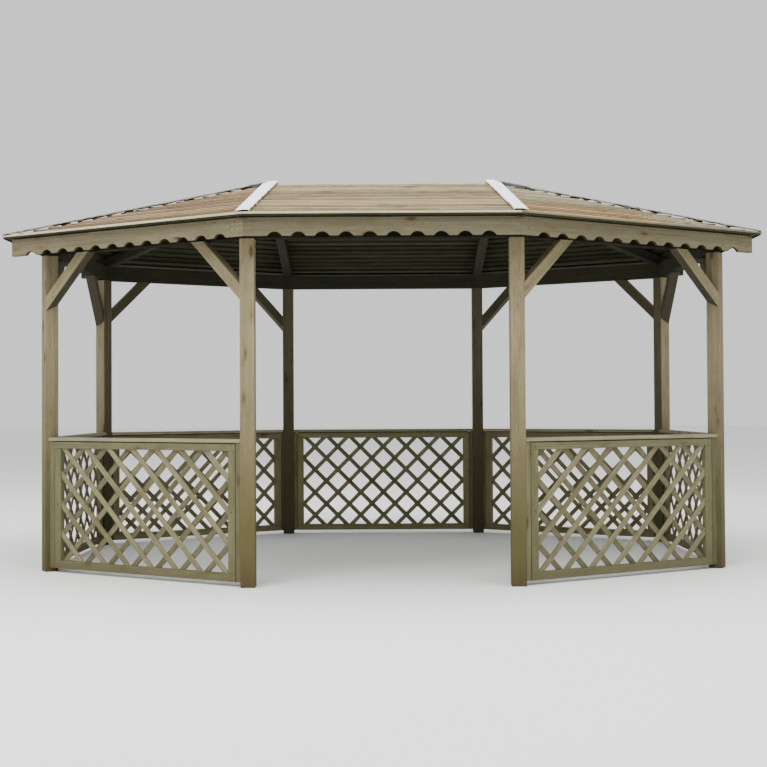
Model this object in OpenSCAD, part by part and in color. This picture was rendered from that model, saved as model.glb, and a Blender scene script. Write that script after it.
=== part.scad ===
// Elongated octagonal garden gazebo in pressure treated softwood.
// Eight square posts carry a ring of plates and a boarded hip roof. Seven bays are
// closed to handrail height by framed lattice panels, and the front bay is the way in.
// The long axis is X, the entrance faces -Y, and the ground is z = 0.

/* [Plan] */

// Distance between the centres of neighbouring posts, the same in all eight bays
bay = 1650; // [1200:10:2100]

// Side of the square section of a post
post_side = 90; // [70:5:120]

// Height of the posts, up to the underside of the plates
post_height = 2130; // [1900:10:2400]

/* [Plates and braces] */

// Height of a plate
plate_height = 110; // [70:5:150]

// How far a plate reaches outside the line of the post centres
plate_outside = 58; // [45:1:70]

// How far a plate reaches inside the line of the post centres
plate_inside = 32; // [20:1:45]

// Side of the square section of a brace
brace_side = 70; // [45:5:90]

// Length of a brace's leg, along the post and along the plate
brace_leg = 310; // [250:10:600]

/* [Balustrade] */

// Height of a panel's bottom rail above the ground
panel_base = 28; // [15:1:80]

// Width of a panel over its stiles
panel_width = 1500; // [1100:10:1900]

// Height of a panel over its rails
panel_height = 850; // [700:10:1000]

// Thickness of a panel's frame
panel_thick = 40; // [30:1:60]

// How far the outer face of a panel lies outside the line of the post centres
panel_outside = 35; // [20:1:45]

// Width of a stile
stile = 55; // [40:1:80]

// Width of a rail
rail = 50; // [40:1:80]

// Number of diamonds along a panel
diamonds_wide = 7; // [4:1:12]

// Number of diamonds up a panel
diamonds_high = 4; // [2:1:6]

// Width of a lattice slat
slat_width = 35; // [20:1:50]

// Thickness of a lattice slat, in each of two layers
slat_thick = 10; // [6:1:15]

// Width of the handrail on top of a panel
handrail_width = 80; // [60:1:120]

// Thickness of the handrail
handrail_thick = 24; // [18:1:40]

// How far the handrail reaches outside the line of the post centres
handrail_outside = 42; // [30:1:60]

/* [Roof] */

// Distance from a roof centre to a corner of the eaves
eave_radius = 1960; // [1800:10:2300]

// Height of the underside of the roof at the eaves
eave_height = 2212; // [2100:1:2500]

// Rise of the roof from the eaves to the ridge
roof_rise = 520; // [350:10:900]

// Thickness of the lapped roof boards, measured upright
roof_thick = 35; // [20:1:60]

// Side of the square section of a hip rafter
rafter_side = 70; // [45:5:100]

// Depth of the ridge beam
ridge_beam_depth = 120; // [90:5:160]

// Width of each of the two legs of a folded hip flashing
flashing_leg = 55; // [40:1:90]

// Height that a flashing stands over the boards, with the batten inside its fold
flashing_rise = 20; // [4:1:30]

/* [Valance] */

// Distance from a roof centre to a corner of the valance's outer face
valance_radius = 1906; // [1800:1:2200]

// Thickness of a valance board
valance_thick = 20; // [15:1:30]

// Height of the valance's bottom edge above the ground
valance_base = 2112; // [2000:1:2300]

// Number of cut-outs in the front valance
front_cutouts = 10; // [6:1:14]

// Number of cut-outs in each diagonal valance
diagonal_cutouts = 12; // [8:1:16]

// Distance between neighbouring cut-outs
cutout_pitch = 141.7; // [120:0.1:180]

// Radius of a cut-out's arc
cutout_radius = 47; // [35:1:60]

// How far the centre of a cut-out's arc lies below the valance's bottom edge
cutout_drop = 21; // [0:1:35]

/* [Hidden] */

// The roof is two half hexagons, one at each end, joined by a middle as wide as one bay.
// Sides are numbered anticlockwise from the front, seen from above.
FRONT = 0;
FRONT_RIGHT = 1;
RIGHT = 2;
BACK_RIGHT = 3;
BACK = 4;
BACK_LEFT = 5;
LEFT = 6;
FRONT_LEFT = 7;

RIGHT_END = [FRONT_RIGHT, RIGHT, BACK_RIGHT];
LEFT_END = [BACK_LEFT, LEFT, FRONT_LEFT];

// Turn of each side about the upright, from facing the front
SIDE_TURN = [0, 30, 90, 150, 180, 210, 270, 330];

// Half of the plan's turn at a side's left and right end, seen from outside
SIDE_MITRES = [[15, 15], [15, 30], [30, 30], [30, 15], [15, 15], [15, 30], [30, 30], [30, 15]];

// Middle of the half hexagon that a side belongs to, along X
SIDE_CENTRE = [0, bay / 2, bay / 2, bay / 2, 0, -bay / 2, -bay / 2, -bay / 2];

// Directions of the four hips at the right end, the sides that meet there, the directions
// that part each hip from its neighbours, and the turns of the posts that stand under them
HIP_ANGLES = [-90, -30, 30, 90];
HIP_SIDES = [[FRONT, FRONT_RIGHT], [FRONT_RIGHT, RIGHT], [RIGHT, BACK_RIGHT], [BACK_RIGHT, BACK]];
HIP_LIMITS = [[180, -60], [-60, 0], [0, 60], [60, 180]];
POST_TURNS = [0, -30, 30, 0];

// Half the angle that one side of a half hexagon fills, seen from the roof centre
half_sector = 30;

ridge_height = eave_height + roof_rise;
hip_pitch = atan(roof_rise / eave_radius);
face_fall = roof_rise / (eave_radius * cos(half_sector));

// A rafter's flat top lies below the hip, so that its arrises just clear the boards
rafter_top = ridge_height - face_fall * sin(half_sector) * rafter_side / 2 - 0.2;
hub_radius = 80;
hub_height = 105;
hub_top = ridge_height - face_fall * hub_radius - 2;
ridge_beam_top = ridge_height - roof_rise / eave_radius * rafter_side / 2 - 0.5;
valance_top = ridge_height - roof_rise * valance_radius / eave_radius - 2;

opening_width = panel_width - 2 * stile;
opening_height = panel_height - 2 * rail;
diamond = opening_width / diamonds_wide;

// How far the slats are housed in the stiles and rails
slat_housing = 8;

// Members that are scribed to a post start this far from its centre, inside it
scribe_start = post_side / 2 * (cos(half_sector) - sin(half_sector)) + 0.5;

// Neighbouring flashings keep this far from the middle of the face between them
flashing_gap = 2;

post_colour = "#8e8468";
plate_colour = "#5f5a44";
lattice_colour = "#7d785f";
roof_colour = "#a18c6a";
rafter_colour = "#4a4635";
valance_colour = "#968c73";
flashing_colour = "#c9cbc8";

function is_end_side(k) = SIDE_CENTRE[k] != 0;

// Distance from the roof centre to side k of an outline with the given corner radius
function reach(k, radius) = is_end_side(k) ? radius * cos(half_sector) : radius;

// Half the length of side k between its hips, at a distance from the roof centre
function half_length(k, distance) = is_end_side(k) ? distance * tan(half_sector) : bay / 2;

// A frame with its origin at side k's roof centre and -Y pointing out through the side
module on_side(k) {
    translate([SIDE_CENTRE[k], 0, 0])
        rotate([0, 0, SIDE_TURN[k]])
            children();
}

// The same frame, moved out to the line of the post centres
module on_post_line(k) {
    on_side(k)
        translate([0, -reach(k, bay), 0])
            children();
}

// The same frame again, with its origin at each end of the bay in turn and +X outwards
module at_both_posts(k) {
    on_post_line(k)
        for (hand = [0, 1])
            mirror([hand, 0, 0])
                translate([bay / 2, 0, 0])
                    children();
}

module right_roof_centre() {
    translate([bay / 2, 0, 0])
        children();
}

// Plan of the wedge of roof over side k, out to a distance from the roof centre
module side_wedge(k, outer) {
    inner_corners = is_end_side(k) ? [[0, 0]] : [[bay / 2, 0], [-bay / 2, 0]];
    outer_half = half_length(k, outer);
    polygon(concat([[-outer_half, -outer], [outer_half, -outer]], inner_corners));
}

// ---- Posts ----

// Post i of one end, counted from the front; hand is 1 at the right end and -1 at the left
module post_blank(hand, i) {
    angle = HIP_ANGLES[i];
    translate([hand * (bay / 2 + bay * cos(angle)), bay * sin(angle), 0])
        rotate([0, 0, hand * POST_TURNS[i]])
            translate([-post_side / 2, -post_side / 2, 0])
                cube([post_side, post_side, post_height]);
}

module corner_post(hand, i) {
    color(post_colour)
        post_blank(hand, i);
}

// Room for all the posts, cut out of the members that are scribed to them
module post_room() {
    for (hand = [-1, 1])
        for (i = [0:3])
            post_blank(hand, i);
}

// ---- Plates and braces ----

// Plate mitred to its neighbours at both ends, over the centres of the posts
module plate_blank(k) {
    left = tan(SIDE_MITRES[k][0]);
    right = tan(SIDE_MITRES[k][1]);
    on_post_line(k)
        translate([0, 0, post_height])
            linear_extrude(plate_height)
                polygon([
                    [-bay / 2 - plate_outside * left, -plate_outside],
                    [bay / 2 + plate_outside * right, -plate_outside],
                    [bay / 2 - plate_inside * right, plate_inside],
                    [-bay / 2 + plate_inside * left, plate_inside]
                ]);
}

module plate(k) {
    color(plate_colour)
        plate_blank(k);
}

// Braces at 45 degrees between the posts and the plates, flush with the plates' outer faces
module braces(sides) {
    to_face = post_side / 2 / cos(half_sector);
    toe = -to_face - brace_leg;
    across = brace_side * sqrt(2);
    color(plate_colour)
        difference() {
            for (k = sides)
                at_both_posts(k)
                    translate([0, brace_side - plate_outside, post_height])
                        rotate([90, 0, 0])
                            linear_extrude(brace_side)
                                polygon([
                                    [toe, 0], [toe + across, 0],
                                    [-scribe_start, toe + across + scribe_start],
                                    [-scribe_start, toe + scribe_start]
                                ]);
            post_room();
        }
}

// ---- Balustrade ----

// Outline of one layer of slats at 45 degrees; lean is 1 or -1
module slat_layer(lean) {
    lines = diamonds_wide + diamonds_high;
    intersection() {
        square([opening_width + 2 * slat_housing, opening_height + 2 * slat_housing], center = true);
        for (i = [0:lines])
            translate([(i - lines / 2) * diamond, 0])
                rotate(lean * 45)
                    square([2 * panel_width, slat_width], center = true);
    }
}

// Framed lattice panel, with its two layers of slats in the middle of the frame's thickness.
// The outer layer falls to the right, or to the left on the panels of the right-hand end.
module panel(k) {
    outer_lean = SIDE_CENTRE[k] > 0 ? 1 : -1;
    color(lattice_colour)
        on_post_line(k)
            translate([0, panel_thick / 2 - panel_outside, panel_base + panel_height / 2])
                rotate([90, 0, 0]) {
                    linear_extrude(panel_thick, center = true)
                        difference() {
                            square([panel_width, panel_height], center = true);
                            square([opening_width, opening_height], center = true);
                        }
                    linear_extrude(slat_thick)
                        slat_layer(outer_lean);
                    translate([0, 0, -slat_thick])
                        linear_extrude(slat_thick)
                            slat_layer(-outer_lean);
                }
}

// Upright fillets that close the room between each panel and its two posts
module panel_cleats() {
    room = (bay - panel_width) / 2;
    color(lattice_colour)
        difference() {
            for (k = [FRONT_RIGHT:FRONT_LEFT])
                at_both_posts(k)
                    translate([-room, -panel_outside, panel_base])
                        cube([room - scribe_start, panel_thick, panel_height]);
            post_room();
        }
}

// Flat handrails on the panels, scribed to the posts
module handrails(sides) {
    length = bay - 2 * scribe_start;
    color(post_colour)
        difference() {
            for (k = sides)
                on_post_line(k)
                    translate([-length / 2, -handrail_outside, panel_base + panel_height])
                        cube([length, handrail_width, handrail_thick]);
            post_room();
        }
}

// ---- Roof frame ----

// Plan of everything inside the faces that the valances are nailed to
module inside_valance_line() {
    for (k = [FRONT:FRONT_LEFT])
        on_side(k)
            side_wedge(k, reach(k, valance_radius) - valance_thick);
}

// Twelve-sided plan of the right-hand hub, with a flat square to every rafter
module right_hub_plan() {
    right_roof_centre()
        rotate(15)
            circle(r = hub_radius / cos(15), $fn = 12);
}

module rafter_hubs() {
    color(rafter_colour)
        for (hand = [0, 1])
            mirror([hand, 0, 0])
                translate([0, 0, hub_top - hub_height])
                    linear_extrude(hub_height)
                        right_hub_plan();
}

// Four square timbers under the right-hand hips, notched over the plates
module right_hip_rafters() {
    difference() {
        intersection() {
            right_roof_centre()
                for (angle = HIP_ANGLES)
                    rotate([0, 0, angle])
                        translate([0, 0, rafter_top])
                            rotate([0, hip_pitch, 0])
                                translate([0, -rafter_side / 2, -rafter_side])
                                    cube([eave_radius, rafter_side, rafter_side]);
            linear_extrude(ridge_height)
                difference() {
                    inside_valance_line();
                    right_hub_plan();
                }
        }
        for (k = [FRONT:BACK])
            plate_blank(k);
    }
}

module hip_rafters(hand) {
    color(rafter_colour)
        mirror([hand == 1 ? 0 : 1, 0, 0])
            right_hip_rafters();
}

module ridge_beam() {
    length = bay - 2 * hub_radius;
    color(rafter_colour)
        translate([-length / 2, -rafter_side / 2, ridge_beam_top - ridge_beam_depth])
            cube([length, rafter_side, ridge_beam_depth]);
}

// ---- Roof covering ----

// Sloping sheet over side k, from one height above the boards' underside to another
module roof_sheet(k, base, thick) {
    run = reach(k, eave_radius);
    pitch = atan(roof_rise / run);
    on_side(k)
        intersection() {
            linear_extrude(2 * ridge_height)
                side_wedge(k, run);
            translate([0, 0, ridge_height + base])
                rotate([pitch, 0, 0])
                    translate([-run, -2 * run, 0])
                        cube([2 * run, 3 * run, thick * cos(pitch)]);
        }
}

module roof(k) {
    color(roof_colour)
        roof_sheet(k, 0, roof_thick);
}

// Everything below the plane that lies at a height above the underside of face k's boards
module under_plane(k, height) {
    span = 2 * eave_radius;
    on_side(k)
        translate([0, 0, ridge_height + height])
            rotate([atan(roof_rise / reach(k, eave_radius)), 0, 0])
                translate([-span, -span, -span])
                    cube([2 * span, 2 * span, span]);
}

// Plan of everything on the inside of the line of side k's eaves
module inside_eaves(k) {
    on_side(k)
        translate([-2 * eave_radius, -reach(k, eave_radius)])
            square(4 * eave_radius);
}

// Plan of the strip along a right-hand hip, kept clear of the strips beside it
module right_flashing_plan(i) {
    difference() {
        intersection() {
            right_roof_centre()
                rotate(HIP_ANGLES[i])
                    translate([0, -flashing_leg])
                        square([2 * eave_radius, 2 * flashing_leg]);
            inside_eaves(HIP_SIDES[i][0]);
            inside_eaves(HIP_SIDES[i][1]);
        }
        right_roof_centre()
            for (hand = [0, 1])
                rotate(HIP_LIMITS[i][hand])
                    mirror([0, 1 - hand])
                        translate([-eave_radius, -flashing_gap])
                            square(2 * eave_radius);
    }
}

// Strip folded over a right-hand hip, lying on the boards of the faces at both sides
module right_hip_flashing(i) {
    first = HIP_SIDES[i][0];
    second = HIP_SIDES[i][1];
    top = roof_thick + flashing_rise;
    difference() {
        intersection() {
            translate([0, 0, eave_height])
                linear_extrude(2 * roof_rise)
                    right_flashing_plan(i);
            under_plane(first, top);
            under_plane(second, top);
        }
        intersection() {
            under_plane(first, roof_thick);
            under_plane(second, roof_thick);
        }
    }
}

module hip_flashings(hand) {
    color(flashing_colour)
        mirror([hand == 1 ? 0 : 1, 0, 0])
            for (i = [0:3])
                right_hip_flashing(i);
}

// ---- Valance ----

// Board under the edge of the roof, with round cut-outs along its bottom edge
module valance(k, cutouts) {
    outer = reach(k, valance_radius);
    inner = outer - valance_thick;
    color(valance_colour)
        on_side(k)
            difference() {
                translate([0, 0, valance_base])
                    linear_extrude(valance_top - valance_base)
                        difference() {
                            side_wedge(k, outer);
                            side_wedge(k, inner);
                        }
                for (i = [0:cutouts - 1])
                    translate([(i - (cutouts - 1) / 2) * cutout_pitch, 1 - inner, valance_base - cutout_drop])
                        rotate([90, 0, 0])
                            cylinder(h = valance_thick + 2, r = cutout_radius, $fn = 48);
            }
}

corner_post(-1, 0);  // post_front_left
corner_post(1, 0);  // post_front_right
corner_post(1, 1);  // post_right_front
corner_post(1, 2);  // post_right_back
corner_post(1, 3);  // post_back_right
corner_post(-1, 3);  // post_back_left
corner_post(-1, 2);  // post_left_back
corner_post(-1, 1);  // post_left_front
plate(FRONT);  // plate_front
plate(FRONT_RIGHT);  // plate_front_right
plate(RIGHT);  // plate_right
plate(BACK_RIGHT);  // plate_back_right
plate(BACK);  // plate_back
plate(BACK_LEFT);  // plate_back_left
plate(LEFT);  // plate_left
plate(FRONT_LEFT);  // plate_front_left
braces(LEFT_END);  // braces_left_end
braces(RIGHT_END);  // braces_right_end
panel(FRONT_RIGHT);  // panel_front_right
panel(RIGHT);  // panel_right
panel(BACK_RIGHT);  // panel_back_right
panel(BACK);  // panel_back
panel(BACK_LEFT);  // panel_back_left
panel(LEFT);  // panel_left
panel(FRONT_LEFT);  // panel_front_left
panel_cleats();
handrails(LEFT_END);  // handrails_left_end
handrails(RIGHT_END);  // handrails_right_end
handrails([BACK]);  // handrail_back
hip_rafters(-1);  // hip_rafters_left
hip_rafters(1);  // hip_rafters_right
rafter_hubs();
ridge_beam();
roof(FRONT);  // roof_front
roof(FRONT_RIGHT);  // roof_front_right
roof(RIGHT);  // roof_right
roof(BACK_RIGHT);  // roof_back_right
roof(BACK);  // roof_back
roof(BACK_LEFT);  // roof_back_left
roof(LEFT);  // roof_left
roof(FRONT_LEFT);  // roof_front_left
valance(FRONT, front_cutouts);  // valance_front
valance(FRONT_RIGHT, diagonal_cutouts);  // valance_front_right
valance(FRONT_LEFT, diagonal_cutouts);  // valance_front_left
hip_flashings(-1);  // hip_flashings_left
hip_flashings(1);  // hip_flashings_right
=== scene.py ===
import math
import random

import bmesh
import bpy
from mathutils import Matrix, Vector


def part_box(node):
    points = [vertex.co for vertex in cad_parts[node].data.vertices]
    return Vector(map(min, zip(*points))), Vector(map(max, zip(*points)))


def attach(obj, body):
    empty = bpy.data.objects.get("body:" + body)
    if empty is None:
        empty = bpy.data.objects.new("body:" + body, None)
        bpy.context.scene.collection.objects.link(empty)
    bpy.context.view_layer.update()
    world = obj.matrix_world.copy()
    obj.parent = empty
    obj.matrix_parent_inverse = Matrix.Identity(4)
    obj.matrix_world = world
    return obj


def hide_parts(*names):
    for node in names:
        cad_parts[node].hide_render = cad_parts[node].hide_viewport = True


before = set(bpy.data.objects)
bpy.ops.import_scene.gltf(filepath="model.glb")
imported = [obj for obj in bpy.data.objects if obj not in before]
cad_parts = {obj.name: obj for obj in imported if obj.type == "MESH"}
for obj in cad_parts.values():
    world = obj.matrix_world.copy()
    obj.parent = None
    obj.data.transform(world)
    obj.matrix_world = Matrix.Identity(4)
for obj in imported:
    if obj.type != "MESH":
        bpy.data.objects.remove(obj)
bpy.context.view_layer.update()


# ---- Corner posts ----
# Eight square posts of sawn and planed softwood, pressure treated, so that they weather from
# green to a greyish tan. Each stands on the ground on its sawn end and carries the plates.
# The four end posts are turned so that a face looks out along the bisector of their corner.

MM = 0.001

post_low, post_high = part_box("post_front_right")
HALF_BAY = (post_low[0] + post_high[0]) / 2
BAY = -(post_low[1] + post_high[1]) / 2
POST_SIDE = post_high[0] - post_low[0]
POST_TOP = post_high[2]

# Each post: its end, the direction it stands in from the end's centre, and its own turn.
POSTS = {
    "post_front_left": (-1, -90, 0), "post_front_right": (1, -90, 0),
    "post_right_front": (1, -30, -30), "post_right_back": (1, 30, 30),
    "post_back_right": (1, 90, 0), "post_back_left": (-1, 90, 0),
    "post_left_back": (-1, 30, 30), "post_left_front": (-1, -30, -30),
}

DRAW = random.Random(1650)


def turned(degrees, axis="Z"):
    return Matrix.Rotation(math.radians(degrees), 4, axis)


class Carpentry:
    """Timbers that are fixed together, kept as one list of points and faces."""

    def __init__(self):
        self.points, self.faces, self.slots = [], [], []
        self.grain, self.tone, self.lap = [], [], []

    def take(self, part, place, slot=0, tone=None, shaded_slot=None, lap_width=0.0):
        """Adds a finished bmesh, and notes for each point where it lies along its own grain.
        Faces that look down or back, along -Z or Y of the place, may have a slot of their own, for
        a darker material painted as shade.
        On a lapped board, each point also notes how far it lies up the edge and over the top."""
        first = len(self.points)
        along = DRAW.uniform(0, 40)
        pith = Vector((along, DRAW.uniform(-30, 30) * MM, DRAW.uniform(20, 60) * MM))
        shade = DRAW.random() if tone is None else tone
        back = place.inverted()
        part.verts.index_update()
        for vert in part.verts:
            self.points.append(vert.co.copy())
            self.grain.append(back @ vert.co + pith)
            self.tone.append(shade)
            own = back @ vert.co
            self.lap.append((own.y + lap_width + own.z) / lap_width if lap_width else 0)
        for face in part.faces:
            self.faces.append([first + vert.index for vert in face.verts])
            normal = back.to_3x3() @ face.normal
            in_shade = shaded_slot is not None and (normal.z < -0.1 or normal.y > 0.5)
            self.slots.append(shaded_slot if in_shade else slot)
        part.free()

    def timber(self, place, low, high, arris=3 * MM, cuts=(), slot=0, tone=None, shaded_slot=None,
               lap_width=0.0):
        """A straight timber along local X. What lies beyond a cut's plane is sawn off."""
        part = bmesh.new()
        bmesh.ops.create_cube(part, size=1)
        size = [b - a for a, b in zip(low, high)]
        middle = [(a + b) / 2 for a, b in zip(low, high)]
        shape = Matrix.Translation(middle) @ Matrix.Diagonal((*size, 1))
        bmesh.ops.transform(part, matrix=shape, verts=part.verts)
        bmesh.ops.bevel(
            part, geom=part.edges[:], offset=arris, segments=2, profile=0.5, affect="EDGES"
        )
        bmesh.ops.transform(part, matrix=place, verts=part.verts)
        for point, normal in cuts:
            saw(part, point, normal)
        part.normal_update()
        self.take(part, place, slot, tone, shaded_slot, lap_width)

    def nail(self, place, x, z, slot):
        """A flat nail head that looks along -Y of a place, a little proud of the wood."""
        head = bmesh.new()
        spot = place @ Matrix.Translation((x, 0, z)) @ turned(90, "X")
        bmesh.ops.create_cone(head, cap_ends=True, segments=8, radius1=4.5 * MM, radius2=3.5 * MM,
                              depth=1.6 * MM, matrix=spot)
        self.take(head, place, slot)

    def piece(self, name, materials, slot, *nodes):
        """Makes the object that stands for these CAD nodes."""
        mesh = bpy.data.meshes.new(name)
        mesh.from_pydata(self.points, [], self.faces)
        mesh.polygons.foreach_set("material_index", self.slots)
        for material in materials:
            mesh.materials.append(material)
        grain = mesh.attributes.new("grain", "FLOAT_VECTOR", "POINT")
        grain.data.foreach_set("vector", [value for point in self.grain for value in point])
        tone = mesh.attributes.new("tone", "FLOAT", "POINT")
        tone.data.foreach_set("value", self.tone)
        lap = mesh.attributes.new("lap", "FLOAT", "POINT")
        lap.data.foreach_set("value", self.lap)
        mesh.update()
        made = bpy.data.objects.new(name, mesh)
        bpy.context.collection.objects.link(made)
        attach(made, "root")
        if nodes:
            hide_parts(*nodes)
        return made


def saw(part, point, normal):
    """Takes off what lies on the normal's side of a plane, and closes the cut."""
    geometry = part.verts[:] + part.edges[:] + part.faces[:]
    result = bmesh.ops.bisect_plane(
        part, geom=geometry, dist=1e-6, plane_co=point, plane_no=normal, clear_outer=True
    )
    edges = [item for item in result["geom_cut"] if isinstance(item, bmesh.types.BMEdge)]
    open_edges = [edge for edge in edges if edge.is_boundary]
    if open_edges:
        bmesh.ops.contextual_create(part, geom=open_edges)


def linear(code):
    """An sRGB hex colour as linear RGBA."""
    channels = [int(code[i:i + 2], 16) / 255 for i in (1, 3, 5)]
    return (*[c / 12.92 if c <= 0.04045 else ((c + 0.055) / 1.055) ** 2.4 for c in channels], 1)


def add_node(tree, kind, inputs=(), output=None, **settings):
    """Adds a node with its settings, and links or sets its inputs. Gives back the node, or the
    output that is asked for."""
    made = tree.nodes.new("ShaderNode" + kind)
    for key, value in settings.items():
        setattr(made, key, value)
    for key, value in dict(inputs).items():
        if isinstance(value, bpy.types.NodeSocket):
            tree.links.new(value, made.inputs[key])
        else:
            made.inputs[key].default_value = value
    return made if output is None else made.outputs[output]


def treated_softwood(name, light, dark, weathered, weather=0.5, soil=0.0, inward_shade=0.0, underside_shade=0.0,
                     stain=0.35, knots=0.8, knot_share=0.26, vary=0.14, lap_shading_and_dirt=0.0, gloss=0.32):
    """Pressure treated pine. The eye sees long streaks of early and late wood, rings that
    part round brown knots, fine drying cracks, stains, and patches where the surface has
    greyed. Rings are drawn about twice as wide as real ones, so that they show. Faces that
    look in or down under the roof are painted dark and green as shade. On lapped boards,
    painted shadow darkens the foot of each edge, painted shade and dirt darken the part
    under the next board, and a painted highlight with bleaching pales the top arris."""
    material = bpy.data.materials.new(name)
    material.use_nodes = True
    tree = material.node_tree
    tree.nodes.clear()
    grain = add_node(tree, "Attribute", (), "Vector", attribute_name="grain")
    tone = add_node(tree, "Attribute", (), "Fac", attribute_name="tone")
    lap = add_node(tree, "Attribute", (), "Fac", attribute_name="lap")
    place = add_node(tree, "TexCoord", (), "Object")
    height = add_node(tree, "SeparateXYZ", {0: place}, 2)
    normal = add_node(tree, "NewGeometry", (), "Normal")

    # Noise stretched along the grain, with its waves to the metre along it and across it:
    # streaks 20 mm wide, fibres 3 mm wide, bends in the rings, lines for the cracks, stains
    # 90 mm wide and 250 mm long, and a mottle of lichen and grit 15 mm across.
    noise = {}
    for what, along, across, detail, roughness in (
        ("streak", 1.3, 48, 4, 0.6), ("fibre", 9, 330, 2, 0.5), ("bend", 2.2, 9, 2, 0.5),
        ("line", 0.9, 30, 1, 0.5), ("stain", 4, 11, 3, 0.65), ("mottle", 38, 66, 3, 0.7),
    ):
        stretched = add_node(tree, "VectorMath", {0: grain, 1: (along, across, across)}, 0,
                             operation="MULTIPLY")
        noise[what] = add_node(tree, "TexNoise", {"Vector": stretched, "Scale": 1.0,
                                                  "Detail": detail, "Roughness": roughness}, 0)
    patches = add_node(tree, "TexNoise", {"Vector": place, "Scale": 1.7, "Detail": 3.0,
                                          "Roughness": 0.6}, 0)

    # Rings 9 mm apart round the pith, bent by slow waves in the trunk.
    thinned = add_node(tree, "VectorMath", {0: grain, 1: (0.012, 1, 1)}, 0, operation="MULTIPLY")
    radius = add_node(tree, "VectorMath", {0: thinned}, "Value", operation="LENGTH")
    bent = add_node(tree, "Math", {0: noise["bend"], 1: 45 * MM, 2: radius}, 0,
                    operation="MULTIPLY_ADD")
    phase = add_node(tree, "Math", {0: bent, 1: 2 * math.pi / (9 * MM)}, 0, operation="MULTIPLY")
    wave = add_node(tree, "Math", {0: phase}, 0, operation="SINE")

    # Knots, in a share of the cells 220 mm long; each is an ellipse along the grain.
    stretched = add_node(tree, "VectorMath", {0: grain, 1: (4.5, 14, 14)}, 0, operation="MULTIPLY")
    cells = add_node(tree, "TexVoronoi", {"Vector": stretched, "Scale": 1.0})
    draw = add_node(tree, "SeparateColor", {0: cells.outputs["Color"]}, 0)
    from_knot = cells.outputs["Distance"]

    # A crack is a hairline where its noise crosses the middle.
    off_line = add_node(tree, "Math", {0: noise["line"], 1: 0.5}, 0, operation="SUBTRACT")
    from_crack = add_node(tree, "Math", {0: off_line}, 0, operation="ABSOLUTE")

    # Algae on the lowest metre, and splashed earth and damp on the lowest 200 mm.
    damp = add_node(tree, "Math", {0: noise["streak"], 1: 0.3, 2: height}, 0,
                    operation="MULTIPLY_ADD")

    # Faces that look to the middle of the building, and faces that look down, which are
    # painted darker as shade.
    homeward = add_node(tree, "VectorMath", {0: place, 1: (-1, -1, 0)}, 0, operation="MULTIPLY")
    inward = add_node(tree, "VectorMath", {0: homeward}, 0, operation="NORMALIZE")
    turned_in_shade = add_node(tree, "VectorMath", {0: inward, 1: normal}, "Value",
                         operation="DOT_PRODUCT")
    upward = add_node(tree, "SeparateXYZ", {0: normal}, 2)

    # The top arris of a lapped board, painted paler as a highlight as well as bleached.
    off_arris = add_node(tree, "Math", {0: lap, 1: 0.13}, 0, operation="SUBTRACT")
    from_arris = add_node(tree, "Math", {0: off_arris}, 0, operation="ABSOLUTE")

    masks = {}
    for what, source, low, high, bottom, top in (
        ("streaked", noise["streak"], 0.3, 0.72, 0, 1),
        ("stained", noise["stain"], 0.48, 0.66, 0, stain),
        ("late_wood", wave, -0.2, 1, 0, 0.22),
        ("greyed", patches, 0.35, 0.68, 0, weather),
        ("knotty", draw, 0.99 - knot_share, 1.01 - knot_share, 0, 1),
        ("halo", from_knot, 0.12, 0.42, 0.35 * knots, 0),
        ("knot", from_knot, 0.10, 0.22, 0.7 * knots, 0),
        ("crack", from_crack, 0, 0.008, 0.45, 0),
        ("algae", damp, 0.5, 1.6, 1.15 * soil, 0),
        ("earth", damp, 0.10, 0.36, soil, 0),
        # Painted shade and dirt under the next board, painted shadow at the foot of the edge, and a
        # painted highlight on the arris.
        ("tucked_shade_and_dirt", lap, 0.80, 0.97, 0, lap_shading_and_dirt),
        ("foot", lap, 0.035, 0.085, lap_shading_and_dirt, 0),
        ("arris", from_arris, 0.02, 0.06, 0.3 * lap_shading_and_dirt, 0),
        # Painted shade on faces that look in and on faces that look down.
        ("turned_in_shade", turned_in_shade, 0.25, 0.8, 0, inward_shade),
        ("turned_down_shade", upward, -0.3, -0.7, 0, underside_shade),
        ("fibrous", noise["fibre"], 0.35, 0.7, 0, 0.32),
        ("specked", noise["mottle"], 0.52, 0.66, 0, 0.4),
        ("brightness", tone, 0, 1, 1 - vary, 1 + vary),
        ("saturation", noise["fibre"], 0.3, 0.7, 0.93, 1.07),
        ("roughness", noise["streak"], 0.2, 0.8, 0.86, 0.70),
    ):
        masks[what] = add_node(tree, "MapRange", {0: source, 1: low, 2: high, 3: bottom, 4: top}, 0)
    for what in ("halo", "knot"):
        masks[what] = add_node(tree, "Math", {0: masks[what], 1: masks["knotty"]}, 0,
                               operation="MULTIPLY")

    # From the wood itself up to what lies on it. The lap masks show only on lapped boards.
    layers = [
        ("streaked", dark), ("stained", "#574a30"), ("late_wood", dark), ("greyed", weathered),
        ("halo", "#6e4f2e"), ("knot", "#3b2a1b"), ("crack", "#2c261c"), ("fibrous", dark),
        ("specked", dark),
    ]
    if soil:
        layers += [("algae", "#4f4a28"), ("earth", "#45351b")]
    # Painted shade and dirt under the next board, painted shadow at the foot of each edge, and a
    # painted highlight on the top arris.
    if lap_shading_and_dirt:
        layers += [("tucked_shade_and_dirt", "#2e2718"), ("foot", "#2b2415"), ("arris", "#d9cdae")]
    # Painted shade: dark green on faces that look in, and darker still on faces that look down.
    if inward_shade:
        layers += [("turned_in_shade", "#2c2d1c")]
    if underside_shade:
        layers += [("turned_down_shade", "#17170d")]
    colour = linear(light)
    for what, code in layers:
        colour = add_node(tree, "Mix", {0: masks[what], 6: colour, 7: linear(code)}, 2,
                          data_type="RGBA")
    shade = add_node(tree, "HueSaturation", {"Value": masks["brightness"], "Color": colour,
                                             "Saturation": masks["saturation"]}, 0)

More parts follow.
